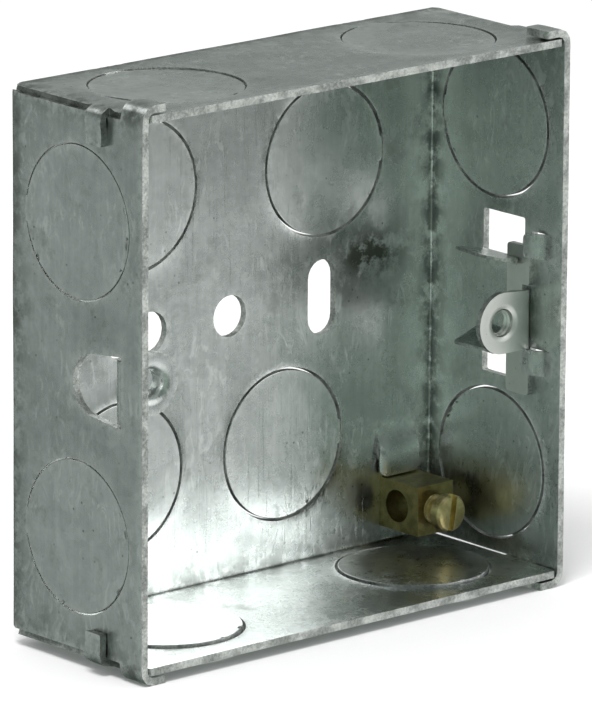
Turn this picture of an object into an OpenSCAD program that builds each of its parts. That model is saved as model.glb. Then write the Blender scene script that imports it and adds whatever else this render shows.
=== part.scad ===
// One-gang flush back box for wiring accessories: a folded sheet-steel box with break-out
// discs, a fixed and an adjustable cover lug, and a brass earth terminal.
//
// Frame: X across the back, Y into the wall (the opening faces -Y), Z up.
// Origin: the axis of the centre fixing hole, at the outer face of the back.

/* [Box] */
// Width and height over the walls
box_size = 73; // [72:0.5:76]
// Depth from the front edge to the outer face of the back
box_depth = 26.5; // [25:0.5:35]
// Thickness of the sheet
sheet = 1; // [0.8:0.1:1.2]
// Outer radius of the bend between the back and each wall
bend_r = 1.4; // [1.3:0.1:2]

/* [Corners] */
// Depth of the strip at the front edge that carries the corner ears
ear_depth = 4.3; // [3.5:0.1:5]
// Length of an ear, from the side wall's outer face
ear_length = 4.2; // [3.5:0.1:6]
// Air between an ear and the wall that it laps
ear_gap = 0.3; // [0.2:0.1:0.5]
// Outer radius of the ear's bend
ear_bend_r = 2; // [1.8:0.1:2.5]
// Distance from an ear to the tab behind it
tab_gap = 2.6; // [2:0.1:3]
// Width of a tab
tab_width = 3; // [2:0.1:4]
// Straight length of the two lower tabs beyond their bend
lower_tab_length = 2.9; // [1:0.1:4]
// Straight length of the two upper tabs beyond their bend
upper_tab_length = 3.5; // [1:0.1:4]

/* [Knockouts] */
// Diameter of the hole that a knockout leaves
knockout_d = 20.6; // [20:0.1:21]
// Width of the sheared groove around a blank
knockout_groove = 0.15; // [0.1:0.05:0.3]
// How far a blank is pushed inwards
knockout_step = 0.25; // [0.2:0.05:0.5]
// The same for the two blanks of the bottom wall
bottom_knockout_step = 0.6; // [0.2:0.05:0.6]
// Width of the web that holds a blank
tie_width = 3.4; // [2:0.1:4]
// Height of the side wall knockouts above and below mid-height, left wall
left_knockout_z = 20.6; // [18:0.1:22]
// The same, right wall
right_knockout_z = 23.3; // [22.5:0.1:23.5]
// Distance of the top and bottom wall knockouts from the middle
flap_knockout_x = 21.5; // [18:0.1:22]

/* [Cover lugs] */
// Distance between the two lug holes
lug_spacing = 60.3; // [60:0.1:60.6]
// Radius of the M3.5 hole
lug_hole_r = 1.75; // [1.6:0.05:1.8]
// Height of a lug
lug_height = 8.3; // [8:0.1:8.6]
// Depth of the lugs' front faces behind the front edge
lug_setback = 5.4; // [5.2:0.1:6]
// Length of the adjustable lug's strip
strip_length = 20.2; // [19:0.1:21]
// Width of the adjustable lug's strip
strip_width = 4.3; // [4:0.1:4.5]
// Thickness of the adjustable lug
strip_t = 0.8; // [0.7:0.05:0.8]

/* [Right wall straps and fins] */
// Distance of the straps' inner ends from mid-height
strap_z = 6.2; // [6:0.1:6.5]
// Height of a strap
strap_height = 3.4; // [3:0.1:3.6]
// Distance of a window's inner edge from mid-height
window_z = 5.5; // [5.3:0.1:5.7]
// Height of a window, and so the length of its fin
window_height = 5.6; // [5.2:0.1:5.8]
// Width of a window along the wall's depth
window_width = 8; // [7:0.1:8.5]
// Lean of a fin away from mid-height, in degrees
fin_lean = 14; // [5:1:20]

/* [Earth terminal] */
// Distance of the terminal from the middle, to the right
terminal_x = 29.7; // [29.5:0.1:30]
// Distance of the terminal below the middle
terminal_drop = 29.8; // [29.5:0.1:30]
// Width, height and length of the brass block
block_w = 6.2; // [6:0.1:6.4]
block_h = 6.8; // [6.6:0.1:7]
block_l = 7.7; // [7.5:0.1:8.5]
// Diameter of the wire hole
wire_hole_d = 4.4; // [4:0.1:4.4]
// Diameter of the screw
screw_d = 4; // [3.5:0.1:4]
// Diameter and thickness of the screw's head
screw_head_d = 5.1; // [5:0.1:5.6]
screw_head_t = 1.9; // [1.6:0.1:2.2]
// How far the head stands off the block at rest
screw_standoff = 1.6; // [1:0.1:2]

/* [Hidden] */

steel = [0.55, 0.58, 0.58];
steel_blank = [0.62, 0.65, 0.65];
steel_lug = [0.78, 0.79, 0.77];
brass = [0.72, 0.63, 0.36];

fine = 64;        // steps of a full circle
bend_steps = 8;   // steps of a quarter bend
through = 1;      // how far a cutter runs past a face

half = box_size / 2;
front_y = -box_depth;
inner = half - sheet;                 // inner face of a wall, from the middle
seam = half - bend_r;                 // where the walls stop at the corner seams
ear_rear_y = front_y + ear_depth;
tab_y = ear_rear_y + tab_gap;
wing_x = half - 0.3;                  // how far a wing laps a side wall
wing_y = ear_rear_y + 0.3;
wall_knockout_y = front_y + 13;
knockout_r = knockout_d / 2;

// Back: fixing hole, slots and knockouts, as [x, z]
centre_hole_r = 2.8;
slot_x = 16;
tall_slot = [4.8, 10.2];
wide_slot = [10.4, 5.6];
back_knockouts = [[-16.2, 18.6], [16.2, 18.6], [9.2, -18.9], [-18.6, -18.7]];

// Cover lugs
lug_x = lug_spacing / 2;
lug_r = lug_height / 2;
lug_y = front_y + lug_setback;
collar_r = lug_hole_r + 0.85;
collar_l = 1.1;
dimple_r = 2.9;                       // dimple round the fixed lug's hole
rim_r = 2.2;                          // countersink of the adjustable lug's hole
dimple_depth = 0.5;
fold_r = 2.2;                         // outer radius of the fixed lug's fold
fold_y = lug_y + sheet - fold_r;      // where the fixed lug's fold leaves the wall
left_window_end_y = front_y + 13.6;
left_window_z = 4.75;                 // half height of the left window at the fold

// Sliding strip of the adjustable lug
slide_gap = 0.05;
strip_x = inner - slide_gap - strip_t;
strip_bend_r = 1.3;
strip_offset = -0.5;                  // middle of the strip from the lug's axis
lug_rest_z = -(strap_z - slide_gap - lug_r);

// Straps, windows and fins of the right wall
strap_y = front_y + 1.9;
strap_ramp_y = front_y + 4.2;
strap_end_y = front_y + 5.9;
strap_t = 0.6;
strap_x = strip_x - 0.1 - strap_t;    // inward face of a strap
strap_play = 0.1;
window_y = front_y + 7.2;
fin_tip_x = inner - 5.3;
fin_rise = (inner - fin_tip_x) * tan(fin_lean);
fin_notch_y = lug_y + strip_width + 0.5;
fin_notch_x = strip_x - 0.3;

// Earth terminal
block_end_y = -sheet - block_l;
wire_y = -4.5;
tongue_x = terminal_x - 0.4;
tongue_w = 6.8;
tongue_top = -19.5;
tongue_ramp = -22.5;
tongue_end = -26.2;
tongue_t = 0.6;
foot_t = 0.45;
foot_top = tongue_end + 2;
tongue_y = -sheet - foot_t - 0.05;    // underside of the tongue's raised end
spigot_r = 1.6;
screw_play = 0.05;
slot_w = 1;
slot_depth = 1;
slot_tilt = 8;

// Points of an arc about centre c, from angle a to angle b
function arc(c, r, a, b) =
    [for (i = [0:bend_steps]) c + r * [cos(a + (b - a) * i / bend_steps), sin(a + (b - a) * i / bend_steps)]];

// A smooth step from 0 to 1
function ease(s) = s * s * (3 - 2 * s);

// Points of a strap that eases from [u0, v0] to [u1, v1] in its first stretch, for one face
function eased(u0, v0, u1, v1) =
    [for (i = [0:bend_steps]) [u0 + (u1 - u0) * i / bend_steps, v0 + (v1 - v0) * ease(i / bend_steps)]];

// Stands an outline drawn as [x, z] on the XZ plane, thick from y to y + t
module upright(y, t) translate([0, y + t, 0]) rotate([90, 0, 0]) linear_extrude(t) children();

// Lays an outline drawn as [z, y] across X, from -w / 2 to w / 2
module across(w) rotate([0, -90, 0]) linear_extrude(w, center = true) children();

// A round bar along Y, from y to y + l
module y_bar(r, y, l) translate([0, y, 0]) rotate([-90, 0, 0]) cylinder(r = r, h = l, $fn = fine);

// A round bar along X, centred
module x_bar(r, l) rotate([0, 90, 0]) cylinder(r = r, h = l, center = true, $fn = fine);

module each_corner() for (m = [0, 1], n = [0, 1]) mirror([m, 0, 0]) mirror([0, 0, n]) children();

module above_and_below() for (n = [0, 1]) mirror([0, 0, n]) children();

// A wall and its bend, drawn as [distance from the middle, y]
module wall_profile() {
    c = [seam, -bend_r];
    polygon(concat(
        arc(c, bend_r, 90, 0),
        [[half, front_y], [inner, front_y]],
        arc(c, bend_r - sheet, 0, 90)
    ));
}

module folded_sheet() {
    translate([-seam, -sheet, -seam]) cube([2 * seam, sheet, 2 * seam]);
    for (m = [0, 1]) mirror([m, 0, 0]) linear_extrude(2 * seam, center = true) wall_profile();
    for (n = [0, 1]) mirror([0, 0, n]) across(2 * seam) wall_profile();
}

module wing() translate([seam, wing_y, inner]) cube([wing_x - seam, -bend_r - sheet - wing_y, sheet]);

// The top wall's edges, and the left one of the bottom wall, lap the side walls behind the ears
module wings() {
    for (m = [0, 1]) mirror([m, 0, 0]) wing();
    mirror([1, 0, 0]) mirror([0, 0, 1]) wing();
}

// Front strip of a side wall, bent round over the top or bottom wall
module ear() {
    top = half + ear_gap + sheet;
    c = [half - ear_bend_r, top - ear_bend_r];
    upright(front_y, ear_depth) polygon(concat(
        [[inner, seam], [half, seam]],
        arc(c, ear_bend_r, 0, 90),
        [[half - ear_length, top], [half - ear_length, top - sheet]],
        arc(c, ear_bend_r - sheet, 90, 0)
    ));
}

// Tab of the top or bottom wall, bent over the outside of a side wall
module corner_tab(length) {
    r = sheet + 0.5;
    face = half + 0.2 + sheet;
    c = [face - r, half - r];
    upright(tab_y, tab_width) polygon(concat(
        [[seam, inner], [seam, half]],
        arc(c, r, 90, 0),
        [[face, c[1] - length], [face - sheet, c[1] - length]],
        arc(c, r - sheet, 0, 90)
    ));
}

module corner_tabs(side, length) {
    for (m = [0, 1]) mirror([m, 0, 0]) scale([1, 1, side]) corner_tab(length);
}

module back_bore(r) y_bar(r, -sheet - through, sheet + 2 * through);

module slot_cutter(size) {
    long = max(size);
    r = min(size) / 2;
    turn = size[0] > size[1] ? 0 : 90;
    rotate([0, turn, 0]) {
        for (s = [-1, 1]) translate([s * (long / 2 - r), 0, 0]) back_bore(r);
        translate([r - long / 2, -sheet - through, -r]) cube([long - 2 * r, sheet + 2 * through, 2 * r]);
    }
}

module back_cutouts() {
    back_bore(centre_hole_r);
    translate([slot_x, 0, 0]) slot_cutter(tall_slot);
    translate([-slot_x, 0, 0]) slot_cutter(wide_slot);
    for (p = back_knockouts) translate([p[0], 0, p[1]]) back_bore(knockout_r);
    // the tongue's own lanced opening, and the terminal's spigot hole
    translate([tongue_x - tongue_w / 2, -sheet - through, tongue_end - 0.6])
        cube([tongue_w, sheet + 2 * through, tongue_top - tongue_end]);
    translate([terminal_x, 0, -terminal_drop]) back_bore(spigot_r);
}

module wall_knockout_holes() {
    w = 2 * sheet + 2 * through;
    above_and_below() {
        translate([-half, wall_knockout_y, left_knockout_z]) x_bar(knockout_r, w);
        translate([half, wall_knockout_y, right_knockout_z]) x_bar(knockout_r, w);
        for (s = [-1, 1]) translate([s * flap_knockout_x, wall_knockout_y, half - w / 2])
            cylinder(r = knockout_r, h = w, $fn = fine);
    }
}

// D-shaped opening that the fixed lug leaves in the left wall
module left_window() {
    end_r = lug_height / 2;
    round_y = left_window_end_y - end_r;
    w = 2 * sheet + 2 * through;
    translate([-half, 0, 0]) {
        across(w) polygon([
            [-left_window_z, fold_y], [-end_r, round_y], [end_r, round_y], [left_window_z, fold_y]
        ]);
        translate([0, round_y, 0]) x_bar(end_r, w);
    }
}

module right_openings() {
    above_and_below() {
        translate([inner - through, window_y, window_z])
            cube([sheet + 2 * through, window_width, window_height]);
        translate([inner - through, strap_y, strap_z])
            cube([sheet + 2 * through, strap_end_y - strap_y, strap_height]);
    }
}

// Lug plate about the hole's axis: a round end, straight back to x = root
module lug_plate(root, y, t) {
    translate([0, y, 0]) rotate([-90, 0, 0]) cylinder(r = lug_r, h = t, $fn = fine);
    translate([min(root, 0), y, -lug_r]) cube([abs(root), t, lug_height]);
}

module lug_hole(y, t, mouth_r) {
    y_bar(lug_hole_r, y - through, t + collar_l + 2 * through);
    translate([0, y - 0.01, 0]) rotate([-90, 0, 0])
        cylinder(r1 = mouth_r, r2 = lug_hole_r, h = dimple_depth, $fn = fine);
}

// Fixed lug, folded in from the left wall
module fixed_lug() {
    c = [fold_r - half, fold_y];
    difference() {
        union() {
            linear_extrude(lug_height, center = true) polygon(concat(
                arc(c, fold_r, 180, 90),
                arc(c, fold_r - sheet, 90, 180)
            ));
            translate([-lug_x, 0, 0]) {
                lug_plate(lug_x + c[0], lug_y, sheet);
                y_bar(collar_r, lug_y, sheet + collar_l);
            }
        }
        translate([-lug_x, 0, 0]) lug_hole(lug_y, sheet, dimple_r);
    }
}

// Lanced strap of the right wall, open towards the rear
module strap() {
    translate([0, 0, strap_z + strap_play]) linear_extrude(strap_height - 2 * strap_play) polygon([
        for (p = concat(
            [[strap_y, inner]], eased(strap_y, inner, strap_ramp_y, strap_x),
            [[strap_end_y, strap_x], [strap_end_y, strap_x + strap_t]],
            [for (i = [bend_steps:-1:0]) eased(strap_y, half, strap_ramp_y, strap_x + strap_t)[i]]
        )) [p[1], p[0]]
    ]);
}

// Window metal bent inwards, notched where the lug's strip passes
module fin() {
    root = inner + sheet / 2;
    rise = fin_rise * (root - fin_tip_x) / (inner - fin_tip_x);
    difference() {
        upright(window_y, window_width) polygon([
            [root, window_z], [root, window_z - sheet],
            [fin_tip_x, window_z - sheet + rise], [fin_tip_x, window_z + rise]
        ]);
        translate([fin_notch_x, window_y - through, 0])
            cube([sheet + through, fin_notch_y - window_y + through, window_z + window_height]);
    }
}

// Lanced tongue of the back, over the foot of the terminal block
module tongue() {
    raised = tongue_y - tongue_t;
    translate([tongue_x, 0, 0]) across(tongue_w) polygon(concat(
        [[tongue_top, 0], [tongue_top, -sheet]],
        eased(tongue_top, -sheet, tongue_ramp, raised),
        [[tongue_end, raised], [tongue_end, tongue_y]],
        [for (i = [bend_steps:-1:0]) eased(tongue_top, 0, tongue_ramp, tongue_y)[i]]
    ));
}

module box_shell() color(steel) {
    difference() {
        folded_sheet();
        back_cutouts();
        wall_knockout_holes();
        left_window();
        right_openings();
    }
    each_corner() ear();
    wings();
    corner_tabs(1, upper_tab_length);
    corner_tabs(-1, lower_tab_length);
    fixed_lug();
    above_and_below() {
        strap();
        fin();
    }
    tongue();
}

// A blank on the XY plane, sheared towards +Z, with its web at +X
module knockout_blank(step = knockout_step) color(steel_blank) translate([0, 0, step]) {
    cylinder(r = knockout_r - knockout_groove, h = sheet, $fn = fine);
    intersection() {
        cylinder(r = knockout_r, h = sheet, $fn = fine);
        translate([knockout_r / 2, -tie_width / 2, 0]) cube([knockout_r, tie_width, sheet]);
    }
}

// Blank i of the back, with its web towards the nearer side wall
module back_knockout(i) {
    p = back_knockouts[i - 1];
    translate([p[0], 0, p[1]]) rotate([90, 0, 0]) rotate(p[0] < 0 ? 180 : 0) knockout_blank();
}

// Blank i of a side wall: side is -1 on the left, 1 on the right
module side_knockout(side, z, i) {
    translate([side * half, wall_knockout_y, (3 - 2 * i) * z])
        rotate([0, -side * 90, 0]) rotate(90) knockout_blank();
}

// Blank i of the top (side 1) or bottom (side -1) wall
module flap_knockout(side, i) {
    translate([(2 * i - 3) * flap_knockout_x, wall_knockout_y, side * half])
        rotate([side > 0 ? 180 : 0, 0, 0]) rotate(side > 0 ? -90 : 90)
            knockout_blank(side > 0 ? knockout_step : bottom_knockout_step);
}

module adjustable_lug() color(steel_lug) translate([0, 0, lug_rest_z]) {
    outer_x = strip_x + strip_t;
    c = [outer_x - strip_bend_r, lug_y + strip_bend_r];
    difference() {
        union() {
            // the strip, with its front part opened where the lug bends out of it
            difference() {
                translate([strip_x, lug_y, strip_offset - strip_length / 2])
                    cube([strip_t, strip_width, strip_length]);
                translate([strip_x - through, lug_y - through, -lug_r])
                    cube([strip_t + 2 * through, strip_bend_r + through, lug_height]);
            }
            linear_extrude(lug_height, center = true) polygon(concat(
                arc(c, strip_bend_r, -90, 0),
                arc(c, strip_bend_r - strip_t, 0, -90)
            ));
            translate([lug_x, 0, 0]) {
                translate([0, lug_y, -lug_r]) cube([c[0] - lug_x, strip_t, lug_height]);
                y_bar(lug_r, lug_y, strip_t);
                y_bar(collar_r, lug_y, strip_t + collar_l);
            }
        }
        translate([lug_x, 0, 0]) lug_hole(lug_y, strip_t, rim_r);
    }
}

module earth_terminal_block() color(brass) translate([terminal_x, 0, -terminal_drop]) difference() {
    union() {
        translate([-block_w / 2, block_end_y, -block_h / 2]) cube([block_w, block_l, block_h]);
        translate([-block_w / 2, -sheet - foot_t, 0]) cube([block_w, foot_t, foot_top + terminal_drop]);
        y_bar(spigot_r, -sheet - foot_t, sheet + foot_t);
    }
    translate([0, wire_y, 0]) x_bar(wire_hole_d / 2, block_w + 2 * through);
    y_bar(screw_d / 2 + screw_play, block_end_y - through, wire_y - block_end_y + through);
}

module earth_terminal_screw() color(brass) translate([terminal_x, 0, -terminal_drop]) {
    under_head = block_end_y - screw_standoff;
    tip = wire_y - wire_hole_d / 2 - 0.1;
    difference() {
        union() {
            y_bar(screw_d / 2, under_head, tip - under_head);
            y_bar(screw_head_d / 2, under_head - screw_head_t, screw_head_t);
        }
        rotate([0, slot_tilt, 0])
            translate([-slot_w / 2, under_head - screw_head_t - through, -screw_head_d])
                cube([slot_w, slot_depth + through, 2 * screw_head_d]);
    }
}

box_shell();
for (i = [1:4]) back_knockout(i);
for (i = [1:2]) side_knockout(-1, left_knockout_z, i);
for (i = [1:2]) side_knockout(1, right_knockout_z, i);
for (i = [1:2]) flap_knockout(1, i);
for (i = [1:2]) flap_knockout(-1, i);
adjustable_lug();
earth_terminal_block();
earth_terminal_screw();
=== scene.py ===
"""A flush back box in folded galvanised steel, on a pale studio floor."""
import math

import bmesh
import bpy
import numpy as np
from mathutils import Matrix, Vector, noise
from mathutils.geometry import delaunay_2d_cdt
from mathutils.kdtree import KDTree


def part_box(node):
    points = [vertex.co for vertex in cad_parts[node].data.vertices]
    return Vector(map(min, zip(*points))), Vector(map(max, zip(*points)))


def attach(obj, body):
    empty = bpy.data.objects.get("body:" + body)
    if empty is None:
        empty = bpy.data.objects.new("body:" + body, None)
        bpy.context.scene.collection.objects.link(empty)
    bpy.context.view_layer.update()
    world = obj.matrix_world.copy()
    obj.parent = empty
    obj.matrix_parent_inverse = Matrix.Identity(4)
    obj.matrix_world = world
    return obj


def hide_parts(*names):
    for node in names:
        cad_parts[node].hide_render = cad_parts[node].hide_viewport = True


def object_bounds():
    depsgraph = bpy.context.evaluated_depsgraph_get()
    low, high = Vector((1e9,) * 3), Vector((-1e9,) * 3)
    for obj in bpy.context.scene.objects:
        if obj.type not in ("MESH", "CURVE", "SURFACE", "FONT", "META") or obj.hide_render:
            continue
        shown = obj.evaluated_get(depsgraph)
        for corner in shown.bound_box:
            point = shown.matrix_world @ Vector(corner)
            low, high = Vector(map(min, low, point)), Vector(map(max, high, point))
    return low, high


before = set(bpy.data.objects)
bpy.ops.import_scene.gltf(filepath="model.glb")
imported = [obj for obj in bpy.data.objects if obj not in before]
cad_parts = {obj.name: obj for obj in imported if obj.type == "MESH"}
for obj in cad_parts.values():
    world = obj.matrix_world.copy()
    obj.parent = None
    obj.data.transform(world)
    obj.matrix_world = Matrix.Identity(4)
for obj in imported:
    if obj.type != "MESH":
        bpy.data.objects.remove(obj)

CAD_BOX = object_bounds()
MM = 0.001
QUARTER = math.pi / 2
SLIVER = 1e-4                                 # square millimetres

# ---------------------------------------------------------------- sizes, in millimetres

SHEET = 1.0
HALF = 36.5                                   # middle to a wall's outer face
MID = HALF - SHEET / 2                        # middle to a wall's middle surface
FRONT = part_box("box_shell")[0].y / MM         # the front edge
BEND = 1.4                                    # outer radius of the bend round the back
BEND_MID = BEND - SHEET / 2
SEAM = HALF - BEND                            # where the walls stop at the corner seams
BEND_RUN = BEND_MID * QUARTER
WALL_END = SEAM + BEND_RUN + (-BEND - FRONT)  # front edge on the flat blank

EAR_DEPTH = 4.3
EAR_BEND_Z = 35.8
EAR_BEND_MID = 1.5
EAR_BEND_X = HALF - 2.0
EAR_END = EAR_BEND_Z + EAR_BEND_MID * QUARTER + 2.2
SIDE_EDGE = 35.38                             # a side wall's upper and lower edges
WING_X = 36.05                                # edges of the top and bottom walls that lap the side walls
EDGE_ROLL_X = 35.1                            # where they start to roll inwards
EDGE_DROP = 0.22
WING_Y = FRONT + 4.6
TAB_Y = (FRONT + 6.9, FRONT + 9.9)
TAB_BEND_X = 36.2
TAB_BEND_Z = 35.0
TAB_BEND_MID = 1.0
TAB_LENGTHS = {1: 3.5, -1: 2.9}               # run beyond the bend, top and bottom
TAB_LEANS = {1: 0.2, -1: 0.06}                # how far a tab leans back to the wall

HOLE_R = 10.3                                 # knockouts
BLANK_R = 10.03
PUSHES = {"back": 0.25, "left": 0.26, "right": 0.3, "top": 0.42, "bottom": 0.62}   # how far blanks stand in
HINGES = {"top_knockout_1": 165}              # where a blank hangs, if not at its web, in degrees
TIE = 3.4
BACK_KNOCKOUTS = [(-16.2, 18.6), (16.2, 18.6), (9.2, -18.9), (-18.6, -18.7)]
WALL_KNOCKOUT_Y = FRONT + 13
LEFT_Z = 20.6
RIGHT_Z = 23.3
FLAP_X = 21.5

CENTRE_HOLE_R = 2.8
SLOT_X = 16.0
TALL_SLOT = (4.8, 10.2)
WIDE_SLOT = (10.4, 5.6)
SLOT_REFLECTION_X, SLOT_REFLECTION_Z = 24.0, 4.5                  # a painted dark reflection beside the tall slot

LUG_X = 30.15                                 # cover lugs
LUG_R = 4.15
LUG_Y = FRONT + 5.4
FOLD_MID = 1.7
FOLD_X = HALF - 2.2
FOLD_Y = LUG_Y + SHEET - 2.2
COLLAR_MID = 2.175                            # middle of the threaded collar's wall
COLLAR_T = 0.85
COLLAR_L = 1.1
FIXED_MOUTH = 0.825                           # bend radius of the fixed lug's hole mouth
WINDOW_HALF = 4.75
WINDOW_END_Y = FRONT + 13.6

STRIP_X = 35.05                               # adjustable lug, middle of its strip
STRIP_T = 0.8
STRIP_W = 4.3
STRIP_BEND = 0.9
STRIP_ROOT = 3.0                              # from the strip's rear edge to the lug's bend
STRIP_MOUTH = 0.28                            # bend radius of its hole's mouth
LUG_TAPER = 0.5                               # the plate's upper edge falls off to its bend
LUG_REST_Z = -2.0
STRIP_LOW, STRIP_HIGH = -12.6, 7.6

STRAP_Z = (6.3, 9.5)                          # right wall straps, windows and fins
STRAP_HOLE_Z = (6.2, 9.6)
STRAP_Y, STRAP_RAMP_Y, STRAP_END_Y = FRONT + 1.9, FRONT + 5.6, FRONT + 5.8
STRAP_X = 34.25
THIN = 0.6
BAY_Y = (FRONT + 7.2, FRONT + 15.2)
BAY_END = 11.1
FIN_FOOT = 4.53
FIN_BEND = 0.6
FIN_LEAN = math.radians(14)
FIN_TIP = 30.2
FIN_NOTCH_Y = -16.3
FIN_NOTCH_X = 34.35

TERMINAL_X, TERMINAL_Z = 29.7, -29.8          # earth terminal
TONGUE_X = (25.9, 32.7)
TONGUE_TOP, TONGUE_RAMP, TONGUE_END = -19.5, -23.4, -26.2
TONGUE_Y = -1.8
BLOCK_W, BLOCK_H = 6.2, 6.8
BLOCK_FRONT, BLOCK_BACK = -8.7, -1.0
FOOT_T = 0.45
FOOT_TOP = -24.2
SPIGOT_R = 1.58
SPIGOT_ROOT = 0.3                             # how far it starts inside the block
THROUGH = 1.0                                 # how far a cutting bar passes a face
WIRE_R, WIRE_Y = 2.2, -4.5
SCREW_R = 2.0
SHANK_R = 1.6                                 # at the thread's root
SCREW_HOLE_R = 2.05
HEAD_R = 2.55
HEAD_FRONT, HEAD_BACK, SCREW_TIP = -12.2, -10.3, -6.8
THREAD_PITCH = 0.7

# ---------------------------------------------------------------- flat outlines


def arc(cx, cy, r, a, b, steps):
    """Points of an arc, angles in degrees."""
    turns = (math.radians(a + (b - a) * i / steps) for i in range(steps + 1))
    return [(cx + r * math.cos(t), cy + r * math.sin(t)) for t in turns]


def ring(cx, cy, r, step=0.9):
    n = max(16, round(2 * math.pi * r / step))
    return arc(cx, cy, r, 0, 360, n)[:-1]


def slot_outline(cx, cy, size, steps=10):
    w, h = size
    r = min(w, h) / 2
    if w > h:
        k = w / 2 - r
        return arc(cx + k, cy, r, -90, 90, steps) + arc(cx - k, cy, r, 90, 270, steps)
    k = h / 2 - r
    return arc(cx, cy + k, r, 0, 180, steps) + arc(cx, cy - k, r, 180, 360, steps)


def rounded(corners, steps=4):
    """A closed outline from (x, y, radius) corners."""
    out = []
    n = len(corners)
    for i, (x, y, r) in enumerate(corners):
        here = Vector((x, y))
        if r <= 0:
            out.append((x, y))
            continue
        a = (Vector(corners[i - 1][:2]) - here).normalized()
        b = (Vector(corners[(i + 1) % n][:2]) - here).normalized()
        half = a.angle(b) / 2
        reach = r / math.tan(half)
        centre = here + (a + b).normalized() * (r / math.sin(half))
        p, q = here + a * reach - centre, here + b * reach - centre
        sweep = p.angle_signed(q)
        for k in range(steps + 1):
            t = -sweep * k / steps
            v = Vector((p.x * math.cos(t) - p.y * math.sin(t), p.x * math.sin(t) + p.y * math.cos(t)))
            out.append(tuple(centre + v))
    return out


def divided(outline, step=0.9):
    """The closed outline with its long sides divided evenly."""
    out = []
    for (x0, y0), (x1, y1) in zip(outline, outline[1:] + outline[:1]):
        n = max(1, round(math.hypot(x1 - x0, y1 - y0) / step))
        out += [(x0 + (x1 - x0) * i / n, y0 + (y1 - y0) * i / n) for i in range(n)]
    return out


def inside(points, outline):
    """For each point, whether it lies inside the closed outline."""
    p = np.asarray(points, float)
    hit = np.zeros(len(p), bool)
    for (x0, y0), (x1, y1) in zip(outline, outline[1:] + outline[:1]):
        if y0 == y1:
            continue
        between = (p[:, 1] < y0) != (p[:, 1] < y1)
        cross = x0 + (p[:, 1] - y0) * (x1 - x0) / (y1 - y0)
        hit ^= between & (p[:, 0] < cross)
    return hit


def flat_area(corners):
    pairs = zip(corners, corners[1:] + corners[:1])
    return abs(sum(x0 * y1 - x1 * y0 for (x0, y0), (x1, y1) in pairs)) / 2


def rows(us, vs):
    return [(u, v) for u in us for v in vs]


def steps_between(a, b, step):
    n = max(1, round(abs(b - a) / step))
    return [a + (b - a) * i / n for i in range(n + 1)]


def triangulate(outline, holes, groups):
    """Points and triangles of a flat patch. groups are (points, clearance) put in one after the other."""
    points = list(outline)
    edges = [(i, (i + 1) % len(outline)) for i in range(len(outline))]
    for hole in holes:
        first = len(points)
        points += hole
        edges += [(first + i, first + (i + 1) % len(hole)) for i in range(len(hole))]
    border = len(points)
    for candidates, clearance in groups:
        if not candidates:
            continue
        keep = inside(candidates, outline)
        for hole in holes:
            keep &= ~inside(candidates, hole)
        tree = KDTree(len(points))
        for i, p in enumerate(points):
            tree.insert((p[0], p[1], 0), i)
        tree.balance()
        points += [p for p, ok in zip(candidates, keep) if ok and tree.find((p[0], p[1], 0))[2] > clearance]
    result = delaunay_2d_cdt([Vector(p) for p in points], edges, [], 0, 1e-5)
    flat = [tuple(v) for v in result[0]]
    faces = [tuple(f) for f in result[2]]
    middles = [tuple(sum(flat[i][k] for i in f) / len(f) for k in (0, 1)) for f in faces]
    keep = inside(middles, outline)
    for hole in holes:
        keep &= ~inside(middles, hole)
    faces = [f for f, ok in zip(faces, keep) if ok and flat_area([flat[i] for i in f]) > SLIVER]
    tree = KDTree(border)
    for i in range(border):
        tree.insert((points[i][0], points[i][1], 0), i)
    tree.balance()
    depth = [tree.find((p[0], p[1], 0))[2] for p in flat]
    return flat, faces, depth


# ---------------------------------------------------------------- folding the blank


def wall_run(u):
    """Distance from the middle, and y, of a wall's middle surface, u beyond the seam line."""
    if u < BEND_RUN:
        t = u / BEND_MID
        return SEAM + BEND_MID * math.sin(t), -BEND + BEND_MID * math.cos(t)
    return MID, -BEND - (u - BEND_RUN)


def blank_u(y):
    """Where height y of a wall lies on the flat blank."""
    return SEAM + BEND_RUN + (-BEND - y)


def ease(s):
    s = min(max(s, 0), 1)
    return s * s * (3 - 2 * s)


def folded(p):
    """The middle surface of the folded box, from a point of the flat blank."""
    x, z = p
    sx, sz = math.copysign(1, x), math.copysign(1, z)
    if abs(x) <= SEAM and abs(z) <= SEAM:
        return (x, -SHEET / 2, z)
    if abs(x) > abs(z):
        far, y = wall_run(abs(x) - SEAM)
        run = abs(z) - EAR_BEND_Z
        if run <= 0:
            return (sx * far, y, z)
        t = run / EAR_BEND_MID
        if t < QUARTER:
            return (sx * (EAR_BEND_X + EAR_BEND_MID * math.cos(t)), y,
                    sz * (EAR_BEND_Z + EAR_BEND_MID * math.sin(t)))
        return (sx * (EAR_BEND_X - (run - EAR_BEND_MID * QUARTER)), y, sz * (EAR_BEND_Z + EAR_BEND_MID))
    far, y = wall_run(abs(z) - SEAM)
    run = abs(x) - TAB_BEND_X
    if run <= 0:
        clear = ease(max(TAB_Y[0] - y, y - TAB_Y[1]) / 0.8)
        far -= EDGE_DROP * clear * max(0, (abs(x) - EDGE_ROLL_X) / (WING_X - EDGE_ROLL_X)) ** 2
        return (x, y, sz * far)
    t = run / TAB_BEND_MID
    if t < QUARTER:
        return (sx * (TAB_BEND_X + TAB_BEND_MID * math.sin(t)), y,
                sz * (TAB_BEND_Z + TAB_BEND_MID * math.cos(t)))
    run -= TAB_BEND_MID * QUARTER
    lean = TAB_LEANS[int(sz)] * ease(run / 2)
    return (sx * (TAB_BEND_X + TAB_BEND_MID - lean), y, sz * (TAB_BEND_Z - run))


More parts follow.
